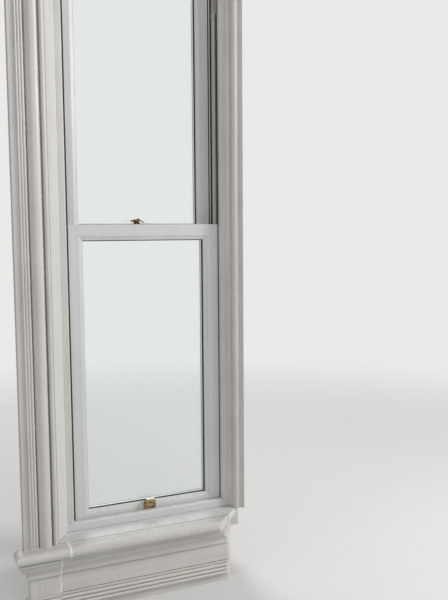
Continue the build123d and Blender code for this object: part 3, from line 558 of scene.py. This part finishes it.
SPACER_MIDDLES = (0.024, 0.079)
SPACER_HALF = 0.006
SEALANT = 0.0012
PIN_ROW = 0.0028
PIN_PITCH = 0.0050
spacer, shader, place = new_finish("spacer_aluminium")
x, y, z = place.axes()
pinholes = ((x + z) * (2 * math.pi / PIN_PITCH)).math("SINE").ramp(0.55, 0.8)
off = y.math("MINIMUM", abs(y - SPACER_MIDDLES[0]), abs(y - SPACER_MIDDLES[1]))
holes = pinholes * abs(off - PIN_ROW).ramp(0.0008, 0.0005)
wander = place.noise(110.0, 3.0) * 0.0008
sealant = (off + wander).ramp(SPACER_HALF - SEALANT + 0.0003, SPACER_HALF - SEALANT + 0.0006)
mill = place.scaled(30.0, 1400.0, 30.0).noise(1.0, 2.0)
drive(shader, height=mill, depth=0.00005,
      Base_Color=sealant.mix(holes.mix((0.60, 0.61, 0.62), (0.04, 0.04, 0.04)),
                             (0.014, 0.014, 0.015)),
      Metallic=1.0 - sealant, Roughness=mill * 0.2 + 0.22 + sealant * 0.3)
dress("lower_spacer upper_spacer", spacer, 0)


# Sash lift: a small cast and polished brass hood on the bottom rail, lacquered once and now
# tarnished in spots, held by two slotted brass screws.
# The lift's crown is brightened by a painted highlight, and its plate by a pale oval of painted
# reflection.
LIFT_CROWN = 0.1325
REFLECTION_MIDDLE = Vector((0.0, -0.0025, 0.1135))
HIGHLIGHT_BRASS = (0.92, 0.82, 0.62)


def brass(name, bright, dull, polish, spots, with_highlight=False):
    """Brass that tarnishes in spots. With a highlight, the lift's crown gets a painted highlight
    and its plate a pale oval of painted reflection."""
    material, shader, place = new_finish(name, Metallic=1.0)
    tarnish = (place.noise(120.0, 5.0, 0.6).ramp(0.42, 0.72) * spots).clip()
    worn = place.noise(35.0, 3.0)
    colour = tarnish.mix(bright, dull)
    if with_highlight:
        # A pale oval of painted reflection on the plate, and a painted highlight on the crown.
        near = place.node("ShaderNodeVectorMath", {"operation": "SUBTRACT"}, place, REFLECTION_MIDDLE)
        near = near.scaled(0.62, 0.3, 1.0)
        oval = near.node("ShaderNodeVectorMath", {"operation": "LENGTH"}, near, out="Value")
        oval = (oval + (worn - 0.5) * 0.006).ramp(0.0080, 0.0020)
        crown = place.axes()[2].ramp(LIFT_CROWN, LIFT_CROWN + 0.0025)
        painted_highlight = (crown + oval * 0.30).clip()
        colour = painted_highlight.mix(colour, HIGHLIGHT_BRASS)
        tarnish = tarnish * (1.0 - painted_highlight)
    drive(shader, height=place.noise(900.0, 2.0) * 0.4 + worn, depth=0.00012, strength=0.3,
          Base_Color=colour, Roughness=tarnish * 0.35 + polish)
    return material


polished = brass("polished_brass", (0.35, 0.25, 0.125), (0.10, 0.068, 0.034), 0.18, 0.95, True)
dress("sash_lift", polished, CRISP_ARRIS, 3)

# Fastener: an arched brass lever that turns on a pin over its base, and a keeper on the upper
# sash. Air and hands have turned them brown, with darker spots.
aged = brass("aged_brass", (0.21, 0.13, 0.058), (0.055, 0.036, 0.020), 0.20, 1.0)
dress("fastener_pivot keeper", aged, 0.0004, 3)
PIVOT = Vector((-0.011, 0.036, 1.030))
BASE_MIDDLE = 0.005
BASE_HALF = 0.0140
BASE_ROUND = 0.0110
BASE_SCREWS = (0.004, 0.0224)
SCREW_SEAT = 0.0037
BOSS_FOOT = 0.0078
RING = 48
PIN_BORE = 0.0026
BASE_PROFILE = ((0.0, 0.0), (0.0, 0.0014), (0.0003, 0.0021), (0.0010, 0.0025))
BASE_TOP = BASE_PROFILE[-1][1]
SEAT_FLOOR = 0.0009
BOSS = ((BOSS_FOOT, BASE_TOP), (0.0068, 0.0029), (0.0061, 0.0038), (0.0056, 0.0052),
        (0.0051, 0.0070), (0.0049, 0.0083), (0.0046, 0.0088), (0.0040, 0.0090),
        (PIN_BORE, 0.0090), (PIN_BORE, 0.0060))
CREASE = math.radians(38)


def ring_of(radius, middle=(0.0, 0.0), straight=0.0):
    """Points round a circle, or round a slot whose straight sides are that long in all."""
    points = []
    for step in range(RING):
        angle = 2 * math.pi * (step + 0.5) / RING
        side = math.copysign(straight / 2, math.cos(angle))
        points.append((middle[0] + side + radius * math.cos(angle),
                       middle[1] + radius * math.sin(angle)))
    return points


def stack(work, rings, levels):
    """Joins rings of points at their levels, and gives back the first and last ring."""
    rows = [[work.verts.new((x, y, level)) for x, y in ring] for ring, level in zip(rings, levels)]
    for lower, upper in zip(rows, rows[1:]):
        for i in range(RING):
            j = (i + 1) % RING
            work.faces.new((lower[i], lower[j], upper[j], upper[i]))
    return rows[0], rows[-1]


def loop_edges(work, row):
    return [work.edges.get((row[i - 1], row[i])) or work.edges.new((row[i - 1], row[i]))
            for i in range(len(row))]


def forged(name, body, work, replaced):
    """Turns a bmesh at the pivot into a piece of aged brass."""
    bmesh.ops.recalc_face_normals(work, faces=work.faces)
    mesh = bpy.data.meshes.new(name)
    work.to_mesh(mesh)
    work.free()
    mesh.transform(Matrix.Translation(PIVOT))
    mesh.materials.append(aged)
    mesh.shade_smooth()
    mesh.set_sharp_from_angle(angle=CREASE)
    piece = bpy.data.objects.new(name, mesh)
    bpy.context.scene.collection.objects.link(piece)
    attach(piece, body)
    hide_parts(replaced)
    return piece


work = bmesh.new()
shift = (BASE_MIDDLE - PIVOT.x, 0.0)
outlines = [ring_of(BASE_ROUND - inset, shift, 2 * BASE_HALF) for inset, level in BASE_PROFILE]
first, last = stack(work, outlines, [level for inset, level in BASE_PROFILE])
edges = loop_edges(work, last)
for x in BASE_SCREWS:
    middle = (x - PIVOT.x, 0.0)
    top, foot = stack(work, [ring_of(SCREW_SEAT, middle), ring_of(SCREW_SEAT * 0.96, middle)],
                      (BASE_TOP, SEAT_FLOOR))
    work.faces.new(foot)
    edges += loop_edges(work, top)
foot, top = stack(work, [ring_of(radius) for radius, level in BOSS],
                  [level for radius, level in BOSS])
edges += loop_edges(work, foot)
bmesh.ops.triangle_fill(work, edges=edges, use_beauty=True)
work.faces.new(first)
forged("fastener_plate", "lower_sash", work, "fastener_base")

# The lever is one casting: a round thumb piece, an arch that thickens over the pin, and a
# cranked tongue that slides under the keeper. Below it a tapered collar turns on the boss. In
# mm, a station of the lever is its place along it, its height, half its width and thickness.
LEVER = ((-24.2, 10.5, 1.4, 1.2), (-23.5, 10.5, 3.3, 2.6), (-22.0, 10.6, 4.3, 3.6),
         (-20.0, 10.9, 4.4, 3.7), (-18.0, 11.7, 3.9, 2.9), (-15.5, 12.9, 3.4, 2.2),
         (-12.0, 14.0, 3.5, 1.9), (-8.0, 14.7, 4.2, 1.8), (-4.5, 14.95, 5.3, 1.8),
         (0.0, 14.95, 5.9, 1.8), (4.5, 14.5, 5.2, 1.8), (7.8, 13.2, 4.3, 1.8),
         (10.2, 11.2, 4.1, 1.8), (12.0, 9.1, 4.2, 1.8), (14.2, 7.8, 4.3, 1.7),
         (17.0, 7.5, 4.3, 1.7), (19.4, 7.5, 4.1, 1.6), (20.0, 7.5, 3.3, 1.0))
COLLAR = ((2.6, 12.0), (2.6, 9.3), (4.6, 9.3), (4.8, 9.6), (4.6, 10.2), (4.0, 11.4), (3.9, 12.6),
          (4.4, 13.9))
SECTION_POINTS = 16
SQUARED = 0.75
MM = 0.001
work = bmesh.new()
rows = []
for i, (x, z, wide, thick) in enumerate(LEVER):
    before, after = LEVER[max(i - 1, 0)], LEVER[min(i + 1, len(LEVER) - 1)]
    way = Vector((after[0] - before[0], after[1] - before[1])).normalized()
    row = []
    for step in range(SECTION_POINTS):
        angle = 2 * math.pi * step / SECTION_POINTS
        u = math.copysign(abs(math.cos(angle)) ** SQUARED, math.cos(angle)) * wide
        v = math.copysign(abs(math.sin(angle)) ** SQUARED, math.sin(angle)) * thick
        row.append(work.verts.new(((x - way.y * v) * MM, u * MM, (z + way.x * v) * MM)))
    rows.append(row)
for one, two in zip(rows, rows[1:]):
    for i in range(SECTION_POINTS):
        j = (i + 1) % SECTION_POINTS
        work.faces.new((one[i], one[j], two[j], two[i]))
work.faces.new(rows[0])
work.faces.new(rows[-1])
stack(work, [ring_of(radius * MM) for radius, level in COLLAR],
      [level * MM for radius, level in COLLAR])
lever = forged("fastener_lever", "fastener", work, "fastener_arm")
rounding = lever.modifiers.new("round", "SUBSURF")
rounding.levels = 2
rounding.render_levels = 2

# Screws of the lift, the fastener and the keeper: brass with one slot, set flush in their
# countersinks. The lift's are polished with it, the others have gone brown.
HEAD_DEPTH = 0.0015
LIFT_BELOW = 0.5
places = []
for number, (low, high) in enumerate(solids_of("lower_sash_screws")):
    middle = [(a + b) / 2 for a, b in zip(low, high)]
    if high[2] < LIFT_BELOW:
        middle[1] = low[1]
        places.append((middle, (0, 1, 0), across(low, high, 1), HEAD_DEPTH, 0.5 + number, 0))
    else:
        middle[2] = high[2]
        places.append((middle, (0, 0, -1), across(low, high, 2), HEAD_DEPTH, 0.5 + number, 1))
slotted_screws("sash_screw_heads", "lower_sash", [polished, aged], places,
               ("lower_sash_screws",))
places = []
for number, (low, high) in enumerate(solids_of("keeper_screws")):
    middle = ((low[0] + high[0]) / 2, (low[1] + high[1]) / 2, high[2])
    places.append((middle, (0, 0, -1), across(low, high, 2), HEAD_DEPTH, 0.2 + 1.7 * number, 0))
slotted_screws("keeper_screw_heads", "upper_sash", [aged], places,
               ("keeper_screws",))

# Window board and nosing: a flat board tongued into the sill, with a half-round nosing nailed
# along its front in two lengths. Old white filler shows where the lengths of nosing meet.
BOARD_FRONT = -0.092
FRONT_JOINT = {"dusty": 0.35, "joints": ((1, BOARD_FRONT, 0.0024),)}
dress("window_board", paint("board_paint", "X", (OUT,), NEW_PAINT, **FRONT_JOINT), BOARD_ARRIS)
dress("nosing", paint("nosing_paint", "X", chipped=0.7, **FRONT_JOINT), BOARD_ARRIS)
dress("nosing_return", paint("nosing_end_paint", "X", (OUT,), chipped=0.5, **FRONT_JOINT),
      BOARD_ARRIS)
filler, shader, place = new_finish("white_filler", IOR=1.5, Roughness=0.6)
grit = place.noise(420.0, 4.0)
drive(shader, height=grit, depth=0.0003,
      Base_Color=grit.ramp(0.35, 0.75).mix((0.86, 0.86, 0.85), (0.76, 0.755, 0.74)))
FILLER_STEPS = 9
FILLER_ROW = 0.0012
FEATHER = 0.0001
SKIN = 0.00005


def filler_seam(name, profile, x_middle, half, proud, seed):
    """A lumpy ridge of filler across a joint: it follows a profile of (y, z) points."""
    rows = []
    for first, second in zip(profile, profile[1:]):
        a, b = Vector(first), Vector(second)
        outward = Vector((-(b.y - a.y), b.x - a.x)).normalized() * -1
        count = max(1, int((b - a).length / FILLER_ROW))
        rows += [(a + (b - a) * i / count, outward) for i in range(count)]
    rows.append((Vector(profile[-1]), outward))
    verts = []
    faces = []
    for i, (point, outward) in enumerate(rows):
        ends = min(1.0, 4.0 * min(i, len(rows) - 1 - i) / len(rows) + 0.2)
        wide = half * (1 + 0.5 * noise.noise(Vector((seed, i * 0.21, 0))))
        shift = 0.4 * half * noise.noise(Vector((seed + 5, i * 0.13, 0)))
        for step in range(FILLER_STEPS):
            share = 2 * step / (FILLER_STEPS - 1) - 1
            lump = 0.55 + 0.9 * noise.noise(Vector((seed, i * 0.24, share * 1.4)))
            rise = proud * ends * (1 - share ** 2) * max(0.1, lump) - FEATHER * abs(share)
            y = max(point.x + outward.x * rise, cad_low.y + SKIN)
            verts.append((x_middle + shift + share * wide, y, point.y + outward.y * rise))
    for i in range(len(rows) - 1):
        for step in range(FILLER_STEPS - 1):
            a = i * FILLER_STEPS + step
            faces.append((a, a + 1, a + FILLER_STEPS + 1, a + FILLER_STEPS))
    return mesh_piece(name, "frame", [filler], verts, faces, smooth=True)


SMEAR_STEPS = 26


def filler_smear(name, middle, half_x, half_z, y_face, proud, seed, gap_x, gap_z):
    """A thin knifed patch of filler on faces that look into the room. It stops at a gap that
    is open to the right of gap_x and above gap_z."""
    verts = []
    faces = []
    held = []
    for row in range(SMEAR_STEPS + 1):
        for step in range(SMEAR_STEPS + 1):
            u = 2 * step / SMEAR_STEPS - 1
            v = 2 * row / SMEAR_STEPS - 1
            x = middle[0] + u * half_x
            z = middle[1] + v * half_z
            edge = 0.84 + 0.42 * noise.noise(Vector((u * 1.7, v * 1.7, seed)))
            inside = min(1.0, max(0.0, 3.0 * (edge - math.hypot(u, v))))
            in_gap = x > gap_x and z > gap_z
            dabs = 0.45 + 1.1 * noise.noise(Vector((u * 4.6, v * 4.6, seed + 3)))
            rise = proud * inside * max(0.10, dabs) - SKIN
            verts.append((x, y_face - rise, z))
            held.append(inside > 0 and not in_gap)
    for row in range(SMEAR_STEPS):
        for step in range(SMEAR_STEPS):
            a = row * (SMEAR_STEPS + 1) + step
            corners = (a, a + 1, a + SMEAR_STEPS + 2, a + SMEAR_STEPS + 1)
            if all(held[i] for i in corners):
                faces.append(corners)
    used = sorted({i for face in faces for i in face})
    new_place = {old: new for new, old in enumerate(used)}
    faces = [tuple(new_place[i] for i in face) for face in faces]
    verts = [verts[i] for i in used]
    return mesh_piece(name, "frame", [smear], verts, faces, smooth=True)


STAFF_FRONT = -0.019
smear, shader, place = new_finish("painted_filler", IOR=1.5, Roughness=0.5)
grit = place.noise(300.0, 4.0)
drive(shader, height=grit, depth=0.0004,
      Base_Color=grit.ramp(0.35, 0.75).mix((0.69, 0.695, 0.70), (0.62, 0.62, 0.615)))
filler_smear("corner_filler", middle=(-0.2440, 0.0925), half_x=0.0260, half_z=0.0190,
             y_face=STAFF_FRONT, proud=0.0009, seed=5.0, gap_x=-0.2530, gap_z=0.0975)
NOSING_ROUND = 0.016
NOSING_EDGE = -0.128
NOSING_JOINT = -0.287
ARC_STEPS = 14
profile = [(BOARD_FRONT, BOARD_TOP), (NOSING_EDGE, BOARD_TOP)]
for step in range(1, ARC_STEPS):
    angle = math.pi * step / ARC_STEPS
    profile.append((NOSING_EDGE - NOSING_ROUND * math.sin(angle),
                    BOARD_TOP - NOSING_ROUND + NOSING_ROUND * math.cos(angle)))
filler_seam("nosing_filler", profile, NOSING_JOINT, half=0.0036, proud=0.0012, seed=3.0)

# Bed mould, apron, plinth block and reeded panel mould: old joinery under the nosing, with many
# coats of paint. The plinth block's arris is worn round, and filler bridges its joints.
# Painted shadow lies under the nosing and under the step of the bed mould, and painted shade at
# its foot and between the reeds.
MOULD_ARRIS = 0.0007
UNDER_NOSING, BED_STEP, BED_FOOT = 0.0385, 0.0272, -0.0200
UNDER = {"dusty": 0.5,
         "joints": ((2, UNDER_NOSING, 0.0030), (2, BED_STEP, 0.0022), (2, BED_FOOT, 0.0022))}
dress("bed_mould", paint("bed_paint", "X", (UP, OUT), **UNDER), MOULD_ARRIS)
dress("bed_mould_return", paint("bed_end_paint", "X", (UP, OUT), **UNDER), MOULD_ARRIS)
OVER_REEDS = -0.0790
dress("apron", paint("apron_paint", "X", (UP, OUT), joints=((2, OVER_REEDS, 0.0022),)),
      BOARD_ARRIS)
REED_TOP = -0.085
REED_PITCH = 0.013
REEDS = 4
REED_SHADE_LINES = tuple((2, REED_TOP - REED_PITCH * reed, 0.0016) for reed in range(REEDS))
dress("apron_mould", paint("panel_mould_paint", "X", (OUT,), dusty=0.6, joints=REED_SHADE_LINES),
      MOULD_ARRIS)
WORN_ARRIS = 0.0042
dress("plinth_block", paint("plinth_paint", "Z", (UP, OUT)), WORN_ARRIS, 4)
PLINTH_EDGE = -0.313
BED_PROFILE = [(-0.126, 0.0400), (-0.126, 0.0278), (-0.1225, 0.0275), (-0.120, 0.018),
               (-0.113, 0.009), (-0.107, 0.0), (-0.1025, -0.008), (-0.1015, -0.0195)]
filler_seam("bed_mould_filler", BED_PROFILE, PLINTH_EDGE + 0.0012, half=0.0030, proud=0.0022,
            seed=8.0)
APRON_SKIN = -0.0962
filler_seam("plinth_filler", [(APRON_SKIN, BED_FOOT), (APRON_SKIN, OVER_REEDS)],
            PLINTH_EDGE + 0.0010, half=0.0022, proud=0.0016, seed=12.0)

# Architraves and reveal linings: wide mouldings mitred at the corner, and splayed boards from
# them to the staff beads. Thick paint has softened the reeds, and painted shade darkens the
# quirks.
QUIRK_FLOOR = -0.0895
QUIRKS = {"brushed": 1.4, "joints": ((1, QUIRK_FLOOR, 0.0036),)}
dress("architrave_left", paint("architrave_paint", "Z", (OUT,), **QUIRKS), MOULD_ARRIS)
dress("architrave_head", paint("architrave_head_paint", "X", (OUT,), **QUIRKS), MOULD_ARRIS)
FOOT = {"joints": ((2, BOARD_SEAM, 0.0020),)}
BEHIND_LEFT, BEHIND_HEAD = (-0.7, 0.7, 0), (0, 0.7, 0.7)
dress("reveal_lining_left", paint("reveal_paint", "Z", (BEHIND_LEFT,), NEW_PAINT, **FOOT))
dress("reveal_lining_head", paint("reveal_head_paint", "X", (BEHIND_HEAD,), NEW_PAINT))

# Corner post: a three-cornered cover piece with a roll down its splayed face, which closes the
# corner of the room between two windows.
dress("corner_post", paint("post_paint", "Z", (OUT, UP), brushed=1.2, **FOOT))

# Floor and backdrop: one pale sheet that runs far past the window. From one to four metres out
# it fades into the tone of the backdrop, so that no horizon shows in the glass or behind.
FLOOR = (0.74, 0.74, 0.735)
BACKDROP = (0.82, 0.82, 0.815)
FLOOR_REACH = 60.0
FADE = (0.9, 4.4)
floor_mesh = bpy.data.meshes.new("floor")
corners = ((-1, -1), (1, -1), (1, 1), (-1, 1))
floor_mesh.from_pydata([(x * FLOOR_REACH, y * FLOOR_REACH, cad_low.z) for x, y in corners],
                       [], [(0, 1, 2, 3)])
floor = bpy.data.objects.new("floor", floor_mesh)
bpy.context.scene.collection.objects.link(floor)
floor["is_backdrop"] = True


def seen_ray(place):
    """1 for what the camera, a reflection or clear glass shows, and 0 for light on the object."""
    path = place.node("ShaderNodeLightPath", {}, out="Is Camera Ray")
    outputs = path.socket.node.outputs
    glossy = Flow(path.tree, outputs["Is Glossy Ray"])
    return (path + glossy + Flow(path.tree, outputs["Is Transmission Ray"])).clip()


floor_paint, shader, place = new_finish("floor_paint", Roughness=0.9)
drive(shader, Base_Color=place.noise(2.0).mix(FLOOR, tuple(0.985 * c for c in FLOOR)))
away = place.node("ShaderNodeVectorMath", {"operation": "LENGTH"}, place, out="Value")
glow = place.node("ShaderNodeEmission", {}, BACKDROP, 1.0)
sweep = place.node("ShaderNodeMixShader", {}, away.ramp(*FADE) * seen_ray(place),
                   Flow(floor_paint.node_tree, shader.outputs[0]), glow)
floor_paint.node_tree.links.new(
    sweep.socket, floor_paint.node_tree.nodes["Material Output"].inputs["Surface"])
floor_mesh.materials.append(floor_paint)


# Lamps: soft and plain, with the stronger light from the right, where the daylight comes from,
# and one behind and above that shines down through the glass onto the window board. The panes
# are kept out of their light, so that no lamp shows as a disc in the glass.
unlit = bpy.data.collections.new("panes_without_lamps")
for name in ("lower_panes", "upper_panes"):
    unlit.objects.link(nodes[name])
for member in unlit.collection_objects:
    member.light_linking.link_state = "EXCLUDE"


def lamp(name, place, aim, size, power, colour=(1, 1, 1)):
    light = bpy.data.lights.new(name, "AREA")
    light.shape = "DISK"
    light.size = size
    light.energy = power
    light.color = colour
    piece = bpy.data.objects.new(name, light)
    bpy.context.scene.collection.objects.link(piece)
    piece.location = place
    piece.rotation_mode = "QUATERNION"
    piece.rotation_quaternion = (Vector(aim) - Vector(place)).to_track_quat("-Z", "Y")
    piece.visible_camera = False
    piece.visible_transmission = False
    piece.light_linking.receiver_collection = unlit


lamp("key_lamp", (2.9, -1.6, 2.3), (0.0, 0.0, 0.9), 1.1, 88, (1.0, 0.99, 0.97))
lamp("front_lamp", (-0.3, -4.6, 2.9), (0.0, 0.0, 0.9), 1.8, 52, (0.97, 0.98, 1.0))
lamp("left_lamp", (-3.6, -1.6, 1.8), (0.0, 0.0, 0.9), 2.0, 15, (1.0, 0.97, 0.94))
lamp("back_lamp", (0.4, 2.6, 3.0), (0.0, 0.0, 0.6), 1.6, 58)

STUDIO_TONE = (0.21, 0.213, 0.22)
world = bpy.data.worlds.new("studio")
bpy.context.scene.world = world
world.use_nodes = True
sky = world.node_tree.nodes["Background"]
tone = seen_ray(Flow(world.node_tree, None)).mix(STUDIO_TONE, BACKDROP)
world.node_tree.links.new(tone.socket, sky.inputs["Color"])
sky.inputs["Strength"].default_value = 1.0

# Camera: left of the window and near the height of its meeting rails, turned to the right and
# a little down. Its lens is in millimetres, for a sensor whose long side is 36 mm.
CAMERA_PLACE = Vector((-0.680, -2.210, 1.000))
CAMERA_YAW = math.radians(23.3)
CAMERA_PITCH = math.radians(-5.3)
CAMERA_ROLL = math.radians(-0.4)
forward = Vector((math.sin(CAMERA_YAW) * math.cos(CAMERA_PITCH),
                  math.cos(CAMERA_YAW) * math.cos(CAMERA_PITCH), math.sin(CAMERA_PITCH)))
level = Vector((math.cos(CAMERA_YAW), -math.sin(CAMERA_YAW), 0.0))
above = level.cross(forward)
right = math.cos(CAMERA_ROLL) * level + math.sin(CAMERA_ROLL) * above
above = math.cos(CAMERA_ROLL) * above - math.sin(CAMERA_ROLL) * level
LENS = 43.2
NEAREST = 0.05
lens = bpy.data.cameras.new("camera")
lens.lens = LENS
lens.clip_start = NEAREST
camera = bpy.data.objects.new("camera", lens)
bpy.context.scene.collection.objects.link(camera)
camera.matrix_world = Matrix.Translation(CAMERA_PLACE) @ Matrix((
    (right.x, above.x, -forward.x, 0), (right.y, above.y, -forward.y, 0),
    (right.z, above.z, -forward.z, 0), (0, 0, 0, 1)))
bpy.context.scene.camera = camera
bpy.context.scene.view_settings.view_transform = "Standard"

low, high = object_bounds()
